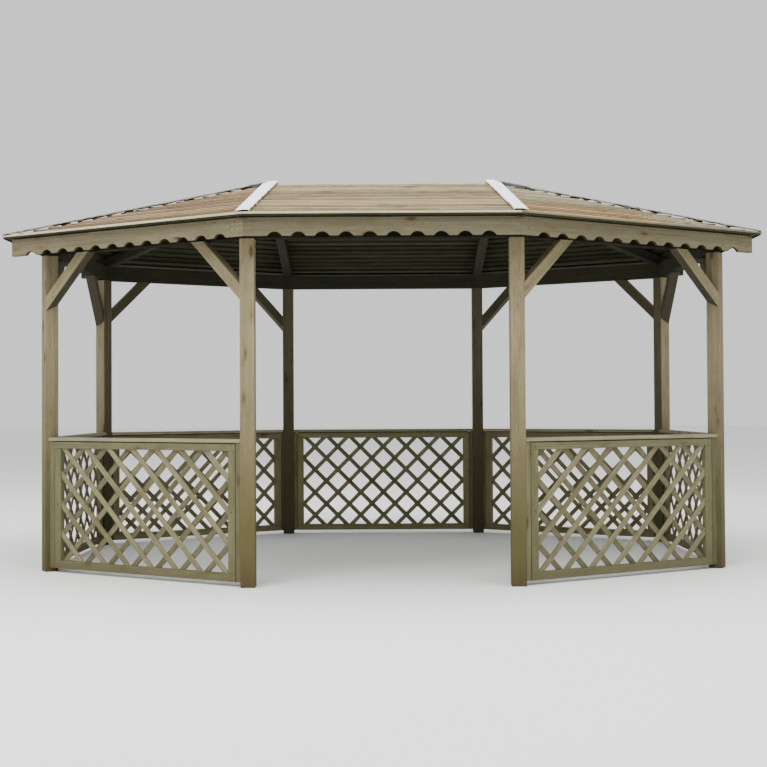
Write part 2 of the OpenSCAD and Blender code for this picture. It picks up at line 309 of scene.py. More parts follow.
    # Fibres and late wood stand up a little, knots more, and cracks go in.
    depth = add_node(tree, "Math", {0: noise["fibre"], 1: 0.35}, 0, operation="MULTIPLY")
    for source, share in ((wave, 0.12), (masks["crack"], -1.8), (masks["knot"], 0.7)):
        depth = add_node(tree, "Math", {0: source, 1: share, 2: depth}, 0,
                         operation="MULTIPLY_ADD")
    bump = add_node(tree, "Bump", {"Height": depth, "Strength": 0.6, "Distance": 1.2 * MM}, 0)
    wood = add_node(tree, "BsdfPrincipled", {"Base Color": shade, "Normal": bump,
                                             "Roughness": masks["roughness"]})
    wood.inputs["Specular IOR Level"].default_value = gloss
    wood.inputs["IOR"].default_value = 1.5
    add_node(tree, "OutputMaterial", {0: wood.outputs[0]})
    return material


# How sunned each post is, from 0, dark, to 1, bleached. The right back post is also set pale
# as painted light, for the light that falls on its inner face.
POST_TONES = {
    "post_front_left": 0.75, "post_front_right": 0.5, "post_right_front": 0.2,
    "post_right_back": 0.95, "post_back_right": 0.4, "post_back_left": 0.3,
    "post_left_back": 0.5, "post_left_front": 0.35,
}

# Tan higher up, green with algae to about hip height, and stained by earth at the foot.
# Faces that look in or down are painted darker as shade.
post_pine = treated_softwood("weathered_post_pine", "#9c9070", "#706447", "#7e775c", soil=0.85,
                             inward_shade=0.6, underside_shade=0.6, knots=1.2, knot_share=0.5, vary=0.22)

for name, (end, direction, turn) in POSTS.items():
    angle = math.radians(direction)
    centre = (end * (HALF_BAY + BAY * math.cos(angle)), BAY * math.sin(angle), 0)
    upright = Matrix.Translation(centre) @ turned(end * turn) @ turned(-90, "Y")
    post = Carpentry()
    half = POST_SIDE / 2
    post.timber(upright, (0, -half, -half), (POST_TOP, half, half), 4 * MM, tone=POST_TONES[name])
    post.piece(name + "_timber", [post_pine], "posts", name)


# ---- Plates ----
# Planed softwood beams laid flat round the tops of the posts, mitred over each post, and
# nailed down. Under the roof they are coloured dark as painted shade.

plate_low, plate_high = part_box("plate_front")
PLATE_TOP = plate_high[2]
PLATE_OUTSIDE = -plate_low[1] - BAY
PLATE_INSIDE = BAY + plate_high[1]
HALF_SECTOR = math.radians(30)

# Each side of the plan: the end it belongs to, from -1 at the left to 1 at the right, and its
# turn about the upright from facing the front.
SIDES = {
    "front": (0, 0), "front_right": (1, 30), "right": (1, 90), "back_right": (1, 150),
    "back": (0, 180), "back_left": (-1, 210), "left": (-1, 270), "front_left": (-1, 330),
}

# Half of the plan's turn at the left and right end of each side.
MITRES = {
    "front": (15, 15), "front_right": (15, 30), "right": (30, 30), "back_right": (30, 15),
    "back": (15, 15), "back_left": (15, 30), "left": (30, 30), "front_left": (30, 15),
}

# Length left on at both ends of a plate until its mitres are sawn.
MITRE_ALLOWANCE = 60 * MM

# Both are painted dull, dark and slightly green as shade. The second, darker still, is
# for faces right behind a valance.
shaded_pine = treated_softwood("shaded_beam_pine", "#464638", "#2f2f26", "#39392d", inward_shade=0.3,
                               underside_shade=1.0, knots=0.6, gloss=0.05)
unlit_pine = treated_softwood("unlit_beam_pine", "#1c1b11", "#121109", "#17160d", knots=0.2,
                              gloss=0.02)


def reach(side, radius):
    """Distance from the roof centre to a side of an outline with this corner radius."""
    return radius * math.cos(HALF_SECTOR) if SIDES[side][0] else radius


def on_side(side, out=0.0, up=0.0):
    """A frame with X along a side, -Y out through it and its origin this far out and up."""
    end, turn = SIDES[side]
    centre = Matrix.Translation((end * HALF_BAY, 0, 0))
    return centre @ turned(turn) @ Matrix.Translation((0, -out, up))


for side in SIDES:
    place = on_side(side, reach(side, BAY))
    cuts = []
    for hand, mitre in zip((-1, 1), MITRES[side]):
        angle = math.radians(mitre)
        normal = Vector((hand * math.cos(angle), math.sin(angle), 0))
        corner = place @ Vector((hand * BAY / 2, 0, 0))
        cuts.append((corner, place.to_3x3() @ normal))
    plate = Carpentry()
    # Facing in, so that the outer and the lower face take the darker painted shade of faces
    # behind a valance.
    plate.timber(
        place @ turned(180), (-BAY / 2 - MITRE_ALLOWANCE, -PLATE_INSIDE, POST_TOP),
        (BAY / 2 + MITRE_ALLOWANCE, PLATE_OUTSIDE, PLATE_TOP), 3 * MM, cuts,
        shaded_slot=1 if side in ("front", "front_right", "front_left") else 0
    )
    plate.piece(f"plate_{side}_timber", [shaded_pine, unlit_pine], "frame_timber", f"plate_{side}")


# ---- Braces ----
# Square struts at 45 degrees from the posts up to the plates, in all bays but the front and
# the back one. Their ends are sawn to the post's face and to the plate's underside.

BRACE_SIDE = 70 * MM
BRACE_LEG = POST_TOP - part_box("braces_right_end")[0][2]
BALUSTRADE_SIDES = [side for side in SIDES if side != "front"]

# How far a brace reaches past its toe and past its head until it is sawn to the joint.
ROUGH_TOE, ROUGH_HEAD = 120 * MM, 750 * MM

# From the middle of a post to the brace, level along the bay.
to_face = POST_SIDE / 2 / math.cos(HALF_SECTOR)

# Grey tan outside, with dark green painted shade on the faces that look in or down.
brace_pine = treated_softwood("weathered_brace_pine", "#968b6a", "#6f6548", "#7d765a", inward_shade=0.8,
                              underside_shade=0.8)
galvanised_steel = bpy.data.materials.new("weathered_galvanised_nail")
galvanised_steel.use_nodes = True
tree = galvanised_steel.node_tree
tree.nodes.clear()
# Dull zinc with brown rust blooms a few millimetres wide.
rust = add_node(tree, "TexNoise", {"Vector": add_node(tree, "TexCoord").outputs["Object"],
                                   "Scale": 160.0, "Detail": 3.0})
tint = add_node(tree, "MapRange", {0: rust.outputs[0], 1: 0.45, 2: 0.6})
zinc = add_node(tree, "Mix", {0: tint.outputs[0], 6: linear("#5d5a55"), 7: linear("#3b2a1f")},
                data_type="RGBA")
nail_head = add_node(tree, "BsdfPrincipled", {"Base Color": zinc.outputs[2]})
nail_head.inputs["Metallic"].default_value = 0.6
nail_head.inputs["Roughness"].default_value = 0.6
add_node(tree, "OutputMaterial", {0: nail_head.outputs[0]})


def post_face_cut(side, hand):
    """The plane of the post's face at a side's left or right end, which looks into the bay."""
    place = on_side(side, reach(side, BAY))
    oblique = HALF_SECTOR if SIDES[side][0] else 0.0
    into_bay = Vector((-hand * math.cos(oblique), -math.sin(oblique), 0))
    normal = place.to_3x3() @ into_bay
    point = place @ Vector((hand * BAY / 2, 0, 0)) + normal * POST_SIDE / 2
    return point, -normal


for end_name, end in (("left_end", -1), ("right_end", 1)):
    braces = Carpentry()
    for side in BALUSTRADE_SIDES:
        if SIDES[side][0] != end:
            continue
        for hand in (-1, 1):
            place = on_side(side, reach(side, BAY))
            toe = Matrix.Translation((hand * (BAY / 2 - to_face), 0, POST_TOP - BRACE_LEG))
            lean = turned(-45 if hand < 0 else -135, "Y")
            strut = place @ toe @ lean
            rise = (0, BRACE_SIDE) if hand < 0 else (-BRACE_SIDE, 0)
            plate_cut = (Vector((0, 0, POST_TOP)), Vector((0, 0, 1)))
            braces.timber(
                strut, (-ROUGH_TOE, -PLATE_OUTSIDE, rise[0]),
                (ROUGH_HEAD, BRACE_SIDE - PLATE_OUTSIDE, rise[1]), 3 * MM,
                [post_face_cut(side, hand), plate_cut]
            )
            face = place @ Matrix.Translation((0, -PLATE_OUTSIDE, 0))
            # Two nails through the toe and two through the head, in from the post and down.
            for x, z in (
                (28 * MM, BRACE_LEG - 55 * MM), (28 * MM, BRACE_LEG - 90 * MM),
                (BRACE_LEG - 80 * MM, 22 * MM), (BRACE_LEG - 45 * MM, 22 * MM),
            ):
                braces.nail(face, hand * (BAY / 2 - to_face - x), POST_TOP - z, 1)
    braces.piece(f"braces_{end_name}_timber", [brace_pine, galvanised_steel], "frame_timber",
                 f"braces_{end_name}")


# ---- Balustrade panels ----
# Framed trellis bought as a panel: rails between two stiles, and two layers of sawn slats at
# 45 degrees, let into the frame and stapled where they cross.

panel_low, panel_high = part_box("panel_back")
PANEL_WIDTH = panel_high[0] - panel_low[0]
PANEL_OUTSIDE = panel_high[1] - BAY
PANEL_THICK = panel_high[1] - panel_low[1]
STILE, RAIL = 55 * MM, 50 * MM
SLAT_WIDTH, SLAT_THICK = 35 * MM, 10 * MM
DIAMONDS_WIDE, DIAMONDS_HIGH = 7, 4
HOUSING = 6 * MM

# Half the length of a slat until it is sawn to the frame, and the gap between the layers.
ROUGH_HALF = 1.0
LAYER_GAP = 0.4 * MM

# The top rail stands off the handrail on a packing strip, coloured dark as painted shade
# so that it leaves a dark line.
SHADOW_GAP = 5 * MM

# Sawn and rough planed, so greener and greyer than the posts; the slats are a little paler.
# Frame faces that look down are painted darker as shade.
panel_pine = treated_softwood("trellis_frame_pine", "#88835f", "#56543a", "#6f6d54", soil=0.25,
                              underside_shade=0.6, stain=0.6, knots=1.2, knot_share=0.4, vary=0.3)
slat_pine = treated_softwood("trellis_slat_pine", "#97916f", "#5f5b40", "#76755c", soil=0.15,
                             stain=0.7, knots=0.7, vary=0.3)

for side in BALUSTRADE_SIDES:
    place = on_side(side, reach(side, BAY) + PANEL_OUTSIDE - PANEL_THICK / 2)
    panel = Carpentry()
    half_width, half_thick = PANEL_WIDTH / 2, PANEL_THICK / 2
    bottom, top = panel_low[2], panel_high[2]
    # The frames of the panels farther back are painted paler, as painted light for the light
    # that reaches their inner faces through the open front.
    frame_lit_tone = {"back": 1.0, "back_left": 0.8, "back_right": 0.8}.get(side, 0.45)
    for hand in (-1, 1):
        stile_line = Matrix.Translation((hand * (half_width - STILE / 2), 0, 0))
        upright = place @ stile_line @ turned(-90, "Y")
        panel.timber(
            upright, (bottom + RAIL, -half_thick + 1 * MM, -STILE / 2),
            (top - RAIL, half_thick - 1 * MM, STILE / 2), 2.5 * MM, tone=frame_lit_tone
        )
    opening = half_width - STILE
    for low, high in ((bottom, bottom + RAIL), (top - RAIL, top - SHADOW_GAP)):
        panel.timber(
            place, (-half_width, -half_thick, low), (half_width, half_thick, high), 2.5 * MM,
            tone=frame_lit_tone
        )
    # The packing strip, in the beam wood that is painted dark as shade.
    panel.timber(
        place, (-half_width + 4 * MM, -half_thick + 8 * MM, top - 2 * SHADOW_GAP),
        (half_width - 4 * MM, half_thick - 8 * MM, top), 1 * MM, slot=3
    )
    middle = place @ Matrix.Translation((0, 0, (bottom + top) / 2))
    turn = middle.to_3x3()
    half_height = (top - bottom) / 2 - RAIL
    edges = [
        (middle @ Vector((s * (opening + HOUSING), 0, 0)), turn @ Vector((s, 0, 0)))
        for s in (-1, 1)
    ] + [
        (middle @ Vector((0, 0, s * (half_height + HOUSING))), Vector((0, 0, s))) for s in (-1, 1)
    ]
    pitch = 2 * opening / DIAMONDS_WIDE
    lines = DIAMONDS_WIDE + DIAMONDS_HIGH
    outer_lean = -45 if SIDES[side][0] > 0 else 45
    for lean, layer in ((outer_lean, 0), (-outer_lean, -1)):
        for i in range(lines + 1):
            across = (i - lines / 2) * pitch + DRAW.uniform(-2, 2) * MM
            slat = middle @ Matrix.Translation((across, 0, 0)) @ turned(lean, "Y")
            low = -layer * SLAT_THICK - SLAT_THICK
            # The inner slats are painted darker as shade cast by the outer layer.
            tone = DRAW.uniform(0.0, 0.25) if layer else DRAW.uniform(0.4, 0.8)
            panel.timber(
                slat, (-ROUGH_HALF, low + LAYER_GAP / 2, -SLAT_WIDTH / 2),
                (ROUGH_HALF, low + SLAT_THICK - LAYER_GAP / 2, SLAT_WIDTH / 2), 1.2 * MM, edges,
                slot=1, tone=tone
            )
    # Staples where the slats cross, and nails through the ends of the rails and the stiles.
    crossings = middle @ Matrix.Translation((0, -SLAT_THICK, 0))
    for column in range(2 * DIAMONDS_WIDE + 1):
        for row in range(2 * DIAMONDS_HIGH + 1):
            x, z = (column - DIAMONDS_WIDE) * pitch / 2, (row - DIAMONDS_HIGH) * pitch / 2
            inside_frame = abs(z) < half_height and abs(x) < opening
            if inside_frame and (column + row) % 2 == 0:
                staple = bmesh.new()
                size = Matrix.Diagonal((10 * MM, 1.6 * MM, 1.6 * MM, 1))
                spot = crossings @ Matrix.Translation((x, 0, z))
                bmesh.ops.create_cube(staple, size=1, matrix=spot @ size)
                panel.take(staple, crossings, 2)
    front = middle @ Matrix.Translation((0, -half_thick, 0))
    for x in (-half_width + STILE / 2, half_width - STILE / 2):
        for z in (-half_height - RAIL * 0.7, -half_height - RAIL * 0.3, 0,
                  half_height + RAIL * 0.3, half_height + RAIL * 0.7):
            panel.nail(front, x, z, 2)
    panel.piece(f"panel_{side}_timber", [panel_pine, slat_pine, galvanised_steel, shaded_pine],
                "lattice_timber", f"panel_{side}")


# ---- Panel fillets ----
# Upright battens, planed to a wedge where a bay meets a post askew, that close the room
# between each panel and its posts.

cleats = Carpentry()
for side in BALUSTRADE_SIDES:
    place = on_side(side, reach(side, BAY) + PANEL_OUTSIDE - PANEL_THICK / 2)
    for hand in (-1, 1):
        near, far = hand * (PANEL_WIDTH / 2 + 3.5 * MM), hand * (BAY / 2 - 18 * MM)
        upright = place @ turned(-90, "Y")
        low, high = sorted((-near, -far))
        cleats.timber(
            upright, (panel_low[2], -PANEL_THICK / 2 + 3 * MM, low),
            (panel_high[2], PANEL_THICK / 2 - 3 * MM, high), 1.5 * MM, [post_face_cut(side, hand)]
        )
        # The joint to the panel, a little open, closed behind by a strip painted dark as shade.
        middle = -hand * PANEL_WIDTH / 2
        cleats.timber(
            upright, (panel_low[2] + 4 * MM, -PANEL_THICK / 2 + 9 * MM, middle - 5 * MM),
            (panel_high[2] - 4 * MM, PANEL_THICK / 2 - 9 * MM, middle + 5 * MM), 1 * MM, slot=1
        )
cleats.piece("panel_cleats_timber", [panel_pine, shaded_pine], "lattice_timber", "panel_cleats")


# ---- Handrails ----
# Flat planed boards with eased edges, nailed on top of the panels and sawn to the posts.

rail_low, rail_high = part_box("handrail_back")
HANDRAIL_OUTSIDE = rail_high[1] - BAY
HANDRAIL_INSIDE = BAY - rail_low[1]

# Rubbed smooth and sunned grey on top; faces that look down are painted darker as shade.
handrail_pine = treated_softwood("handrail_pine", "#a39b80", "#7a7259", "#8d8871", underside_shade=0.8)

for name, sides in (
    ("handrails_left_end", ("back_left", "left", "front_left")),
    ("handrails_right_end", ("front_right", "right", "back_right")),
    ("handrail_back", ("back",)),
):
    handrails = Carpentry()
    for side in sides:
        place = on_side(side, reach(side, BAY))
        cuts = [post_face_cut(side, -1), post_face_cut(side, 1)]
        handrails.timber(
            place, (-BAY / 2, -HANDRAIL_OUTSIDE, rail_low[2]),
            (BAY / 2, HANDRAIL_INSIDE, rail_high[2]), 5 * MM, cuts
        )
        lying = place @ Matrix.Translation((0, 0, rail_high[2])) @ turned(-90, "X")
        for x in (-BAY / 2 + 110 * MM, -BAY / 6, BAY / 6, BAY / 2 - 110 * MM):
            handrails.nail(lying, x, PANEL_THICK / 2 - PANEL_OUTSIDE, 1)
    handrails.piece(name + "_timber", [handrail_pine, galvanised_steel], "handrail_timber", name)


# ---- Roof frame ----
# Square hip rafters run from a twelve-sided hub down over the plates, and a ridge beam joins
# the two hubs. All are sawn softwood, dark because they are always in shade.

hub_low, hub_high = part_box("rafter_hubs")
HUB_RADIUS = hub_high[0] - HALF_BAY
eave_low, eave_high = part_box("roof_front")
EAVE_RADIUS = -eave_low[1]
EAVE_HEIGHT = eave_low[2]
valance_low, valance_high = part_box("valance_front")
VALANCE_RADIUS = -valance_low[1]
VALANCE_THICK = 20 * MM
RAFTER_SIDE = 70 * MM
ROOF_THICK = 35 * MM
RIDGE = eave_high[2] - ROOF_THICK
RISE = RIDGE - EAVE_HEIGHT
HIP_PITCH = math.atan(RISE / EAVE_RADIUS)
HIPS = {-90: ("front", "front_right"), -30: ("front_right", "right"),
        30: ("right", "back_right"), 90: ("back_right", "back")}
MIRRORED = {"front": "front", "front_right": "front_left", "right": "left",
            "back_right": "back_left", "back": "back"}

# How far the tails of the front rafters stop short of the corner of the eaves.
TAIL_SETBACK = 8 * MM

# Painted dark as shade, dry and dusty, with no shine.
roof_frame_pine = treated_softwood("shaded_rafter_pine", "#3f3f34", "#292922", "#33332a", knots=0.5,
                                   gloss=0.05)


def hip_sides(end, angle):
    sides = HIPS[angle]
    return sides if end > 0 else [MIRRORED[side] for side in sides]


def along_hip(end, angle, height):
    """A frame at a roof centre, with X running down the line of a hip."""
    centre = Matrix.Translation((end * HALF_BAY, 0, height))
    direction = angle if end > 0 else 180 - angle
    return centre @ turned(direction) @ Matrix.Rotation(HIP_PITCH, 4, "Y")


for end_name, end in (("left", -1), ("right", 1)):
    rafters = Carpentry()
    for angle in HIPS:
        place = along_hip(end, angle, RIDGE - 5.6 * MM)
        outward = Vector((end * math.cos(math.radians(angle)), math.sin(math.radians(angle)), 0))
        hub_face = Vector((end * HALF_BAY, 0, 0)) + outward * (HUB_RADIUS - 3 * MM)
        cuts = [(hub_face, -outward)]
        for side in hip_sides(end, angle):
            edge = on_side(side, reach(side, VALANCE_RADIUS) - VALANCE_THICK)
            cuts.append((edge.translation, edge.to_3x3() @ Vector((0, -1, 0))))
        half = RAFTER_SIDE / 2
        rafters.timber(place, (0, -half, -RAFTER_SIDE), (EAVE_RADIUS, half, 0), 3 * MM, cuts)
        if angle == -90:
            # The front rafters run on past the valance as a thin tail.
            run = 1 / math.cos(HIP_PITCH)
            rafters.timber(place, ((VALANCE_RADIUS + 4 * MM) * run, -26 * MM, 2 * MM),
                           ((EAVE_RADIUS - TAIL_SETBACK) * run, 26 * MM, 12 * MM), 2 * MM)
    rafters.piece(
        f"hip_rafters_{end_name}_timber", [roof_frame_pine], "roof_timber",
        f"hip_rafters_{end_name}"
    )

hubs = Carpentry()
for end in (-1, 1):
    hub = bmesh.new()
    upright = Matrix.Translation((end * HALF_BAY, 0, (hub_low[2] + hub_high[2]) / 2)) @ turned(15)
    corner_radius = HUB_RADIUS / math.cos(math.radians(15))
    bmesh.ops.create_cone(
        hub, cap_ends=True, segments=12, radius1=corner_radius, radius2=corner_radius,
        depth=hub_high[2] - hub_low[2], matrix=upright
    )
    bmesh.ops.bevel(hub, geom=hub.edges[:], offset=3 * MM, segments=2, profile=0.5, affect="EDGES")
    hubs.take(hub, upright @ turned(-90, "Y"))
hubs.piece("rafter_hubs_timber", [roof_frame_pine], "roof_timber", "rafter_hubs")

beam_low, beam_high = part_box("ridge_beam")
beam = Carpentry()
beam.timber(Matrix(), beam_low, beam_high, 3 * MM)
beam.piece("ridge_beam_timber", [roof_frame_pine], "roof_timber", "ridge_beam")


# ---- Roof boards ----
# Planed softwood boards 110 mm wide and 15 mm thick, nailed across the hip rafters from the
# eaves up, each lapped over the one below. Sun has turned them tan and orange in streaks.

COURSE = 92 * MM
BOARD_WIDTH = 110 * MM
BOARD_THICK = 15 * MM
BOARD_TILT = math.atan(BOARD_THICK / COURSE)

# A planed nosing strip closes the edge of the lowest course. It is bleached, and painted
# paler still as a highlight, except at the right end.
NOSING_DEEP, NOSING_HIGH, NOSING_RISE = 12 * MM, 11 * MM, 26 * MM

# Weathered each in its own way: tan, bleached, orange or grey, with strong knots, and with
# painted shade and dirt in the laps. Their undersides and the packing under the nosing are
# painted dark and green as shade.
sunned_board = treated_softwood("sunned_roof_board", "#b4956b", "#745a40", "#938467", 0.6,
                                stain=0.8, knots=1.2, knot_share=0.6, vary=0.34, lap_shading_and_dirt=0.85)
bleached_board = treated_softwood("bleached_roof_board", "#bba880", "#75633f", "#9d9375", 0.5,
                                  stain=0.9, knots=1.3, knot_share=0.75, vary=0.38,
                                  lap_shading_and_dirt=0.95)
orange_board = treated_softwood("orange_roof_board", "#cda56c", "#936f45", "#aaa28c", 0.4,
                                stain=0.5, knots=1.0, knot_share=0.5, vary=0.3, lap_shading_and_dirt=0.85)
greyed_board = treated_softwood("greyed_roof_board", "#beb598", "#827a5e", "#a5a08a", 0.7,
                                stain=0.8, knots=1.0, knot_share=0.5, vary=0.3, lap_shading_and_dirt=0.8)
board_underside = treated_softwood("unlit_board_underside", "#3b3e29", "#212317", "#2f3120",
                                   knots=0.4, vary=0.3, gloss=0.08)
# The pale nosing: bleached, and painted paler as a highlight of the lit edge.
pale_highlit_nosing = treated_softwood("bleached_highlit_nosing_strip", "#d9d0b4", "#b9ae8e", "#cbc3aa", 0.3,
                                   knots=0.2)
grey_nosing = treated_softwood("grey_nosing_strip", "#8e876c", "#5f5a45", "#7b7663", 0.5, knots=0.3)

for side in SIDES:
    end, turn = SIDES[side]
    run = reach(side, EAVE_RADIUS)
    pitch = math.atan(RISE / run)
    slope = run / math.cos(pitch)
    top = on_side(side, 0, RIDGE) @ Matrix.Rotation(pitch, 4, "X")
    level = on_side(side)
    cuts = []
    for hand in (-1, 1):
        lean = HALF_SECTOR if end else 0.0
        normal = level.to_3x3() @ Vector((hand * math.cos(lean), math.sin(lean), 0))
        point = level @ Vector((0 if end else hand * HALF_BAY, 0, 0))
        cuts.append((point, normal))
    if not end:
        cuts.append((Vector((0, 0, 0)), level.to_3x3() @ Vector((0, 1, 0))))
    boards = Carpentry()
    nosing = top @ Matrix.Translation((0, -slope, NOSING_RISE))
    level_half = (run * math.tan(HALF_SECTOR) if end else HALF_BAY) + 0.05
    boards.timber(
        nosing, (-level_half, 0, 0), (level_half, NOSING_DEEP, NOSING_HIGH), 2 * MM, cuts, slot=1
    )
    # A packing strip under the nosing, coloured dark as painted shade.
    boards.timber(
        nosing, (-level_half, 3 * MM, -13 * MM), (level_half, NOSING_DEEP - 1 * MM, 0.5 * MM),
        1 * MM, cuts, slot=2
    )
    course = 0
    while slope - course * COURSE > 30 * MM:
        slip = DRAW.uniform(-1.5, 1.5) * MM if course else NOSING_DEEP
        lower_edge = slope - course * COURSE - slip
        tilt = Matrix.Rotation(-BOARD_TILT, 4, "X")
        place = top @ Matrix.Translation((0, BOARD_WIDTH - lower_edge, 0)) @ tilt
        askew = turned(DRAW.uniform(-0.06, 0.06))
        # At the right end, orange boards in the lower courses are pieced out with grey ones.
        joint = level_half
        if end > 0:
            joint = DRAW.uniform(0.1, 0.5) if 0 < course < 7 else -level_half
        for first, last, slot in ((-level_half, joint, 0), (joint, level_half, 3)):
            if first < last:
                boards.timber(
                    place @ askew, (first, -BOARD_WIDTH, 0), (last, 0, BOARD_THICK), 2 * MM, cuts,
                    slot=slot, shaded_slot=2, lap_width=BOARD_WIDTH
                )
        course += 1
    look = bleached_board if end == 0 else orange_board if end > 0 else sunned_board
    nosing_look = grey_nosing if end > 0 else pale_highlit_nosing
    boards.piece(f"roof_{side}_boards", [look, nosing_look, board_underside, greyed_board],
                 "roof_boards", f"roof_{side}")


# ---- Hip flashings ----
# Strips of sheet aluminium folded down over a batten on each hip, and dressed by hand to the
# steps of the boards, so that their edges wander. The four beside the straight faces are
# coated white, and the others are bare and dull. Lead closes the tops of the latter.

STRIP_TOP_HALF, STRIP_FOOT_HALF = 50 * MM, 39 * MM
STRIP_RISE = 14 * MM
SHEET_THICK = 1.5 * MM
FACE_FALL = RISE / (EAVE_RADIUS * math.cos(HALF_SECTOR)) * math.sin(HALF_SECTOR)
DRESSING = COURSE / 2

coated_aluminium = bpy.data.materials.new("white_coated_aluminium")
coated_aluminium.use_nodes = True
tree = coated_aluminium.node_tree
tree.nodes.clear()
# Dull smears of rain dirt, about 150 mm across, over a satin white coat.
smear = add_node(tree, "TexNoise", {"Vector": add_node(tree, "TexCoord").outputs["Object"],
                                    "Scale": 7.0, "Detail": 5.0})
rough = add_node(tree, "MapRange", {0: smear.outputs[0], 1: 0.3, 2: 0.7, 3: 0.32, 4: 0.5})
grime = add_node(tree, "MapRange", {0: smear.outputs[0], 1: 0.5, 2: 0.75, 3: 0.0, 4: 0.5})
coat = add_node(tree, "Mix", {0: grime.outputs[0], 6: linear("#f7f8f7"), 7: linear("#d8d8d2")},
                data_type="RGBA")
metal = add_node(tree, "BsdfPrincipled", {"Base Color": coat.outputs[2],
                                          "Roughness": rough.outputs[0]})
metal.inputs["IOR"].default_value = 1.5
add_node(tree, "OutputMaterial", {0: metal.outputs[0]})

dull_aluminium = bpy.data.materials.new("weathered_aluminium")
dull_aluminium.use_nodes = True
tree = dull_aluminium.node_tree
tree.nodes.clear()
# Grey oxide with brownish stains from the wood, some 40 mm across.
stain = add_node(tree, "TexNoise", {"Vector": add_node(tree, "TexCoord").outputs["Object"],
                                    "Scale": 26.0, "Detail": 5.0})
tint = add_node(tree, "MapRange", {0: stain.outputs[0], 1: 0.38, 2: 0.62})
oxide = add_node(tree, "Mix", {0: tint.outputs[0], 6: linear("#8d857a"), 7: linear("#50473d")},
                 data_type="RGBA")
sheet = add_node(tree, "BsdfPrincipled", {"Base Color": oxide.outputs[2]})
sheet.inputs["Metallic"].default_value = 0.3
sheet.inputs["Roughness"].default_value = 0.6
add_node(tree, "OutputMaterial", {0: sheet.outputs[0]})

weathered_lead = bpy.data.materials.new("weathered_lead")
weathered_lead.use_nodes = True
tree = weathered_lead.node_tree
tree.nodes.clear()
# Slate grey patina with paler and purple blooms, a few centimetres across.
bloom = add_node(tree, "TexNoise", {"Vector": add_node(tree, "TexCoord").outputs["Object"],
                                    "Scale": 24.0, "Detail": 4.0})
tint = add_node(tree, "MapRange", {0: bloom.outputs[0], 1: 0.35, 2: 0.65})
patina = add_node(tree, "Mix", {0: tint.outputs[0], 6: linear("#3c3840"), 7: linear("#5c5459")},
                  data_type="RGBA")
dent = add_node(tree, "Bump", {"Height": bloom.outputs[0], "Strength": 0.4, "Distance": 2 * MM})
lead = add_node(tree, "BsdfPrincipled", {"Base Color": patina.outputs[2],
                                         "Normal": dent.outputs[0]})
lead.inputs["Metallic"].default_value = 0.35
lead.inputs["Roughness"].default_value = 0.6
add_node(tree, "OutputMaterial", {0: lead.outputs[0]})


def folded_sheet(place, start, end, halves, rise, falls, lips):
    """A sheet folded over a hip; its lips are dressed to a depth that varies by hand."""
    part = bmesh.new()
    steps = max(2, round((end - start) / DRESSING))
    rings = []
    for i in range(steps + 1):
        x = start + (end - start) * i / steps
        half = halves[0] + (halves[1] - halves[0]) * i / steps
        left, right = (rise - half * fall for fall in falls)
        lip = [DRAW.uniform(*lips), DRAW.uniform(*lips)]
        outer = [(-half - MM, left - lip[0]), (-half, left), (0, rise), (half, right),
                 (half + MM, right - lip[1])]
        inner = [(v * (1 - SHEET_THICK / half), z - SHEET_THICK) for v, z in outer]
        inner[0] = (inner[0][0], outer[0][1])
        inner[-1] = (inner[-1][0], outer[-1][1])
        rings.append([part.verts.new((x, v, z)) for v, z in outer + inner[::-1]])
    count = len(rings[0])
    for ring, following in zip(rings, rings[1:]):
        for i in range(count):
            j = (i + 1) % count
            part.faces.new((ring[i], following[i], following[j], ring[j]))
    for ring in (rings[0], rings[-1]):
        for i in range(count // 2 - 1):
            part.faces.new((ring[i], ring[i + 1], ring[count - 2 - i], ring[count - 1 - i]))
    bmesh.ops.recalc_face_normals(part, faces=part.faces)
    bmesh.ops.transform(part, matrix=place, verts=part.verts)
    return part


for end_name, end in (("left", -1), ("right", 1)):
    strips = Carpentry()
    for angle in HIPS:
        place = along_hip(end, angle, RIDGE + ROOF_THICK)
        length = EAVE_RADIUS / math.cos(HIP_PITCH)
        # The front strip laps over the back one, and the side strips stop short of both.
        start = {-90: -4 * MM, 90: 12 * MM}.get(angle, 60 * MM)
        falls = [0 if side in ("front", "back") else FACE_FALL for side in hip_sides(end, angle)]
        if end < 0:
            falls.reverse()
        white = abs(angle) == 90
        rise = STRIP_RISE + (2 * MM if angle == -90 else 0)
        strips.take(
            folded_sheet(place, start, length - 2 * MM, (STRIP_TOP_HALF, STRIP_FOOT_HALF), rise,
                         falls, (3 * MM, 12 * MM) if white else (1 * MM, 9 * MM)),
            place, slot=0 if white else 1
        )
        # Battens under the strip, in the rafter wood painted dark as shade: one length on the front
        # and back hips, blocks on the others.
        battens = [(90 * MM, length - 12 * MM)] if white else [
            (x * COURSE, x * COURSE + 60 * MM) for x in range(2, 21, 5)
        ]
        for first, last in battens:
            strips.timber(place, (first, -20 * MM, -10 * MM),
                          (last, 20 * MM, STRIP_RISE - 2 * SHEET_THICK), 2 * MM, slot=2)
        if not white:
            strips.take(
                folded_sheet(place, 50 * MM, (300 if end > 0 else 190) * MM,
                             (STRIP_TOP_HALF + 12 * MM, STRIP_TOP_HALF + 8 * MM), rise + 3 * MM,
                             falls, (16 * MM, 22 * MM)),
                place, slot=3
            )
    strips.piece(
        f"hip_flashings_{end_name}_strips",
        [coated_aluminium, dull_aluminium, roof_frame_pine, weathered_lead], "flashing",
        f"hip_flashings_{end_name}"
    )


# ---- Valances ----
# Planed boards 20 mm thick under the eaves of the three front faces, nailed to the rafter
# ends. Round cut-outs run along the bottom edge, with the lands between them eased.

CUTOUT_PITCH = 141.7 * MM
CUTOUT_RADIUS = 47 * MM
CUTOUT_DROP = 21 * MM
EASE = 12 * MM
ARC_STEPS = 10

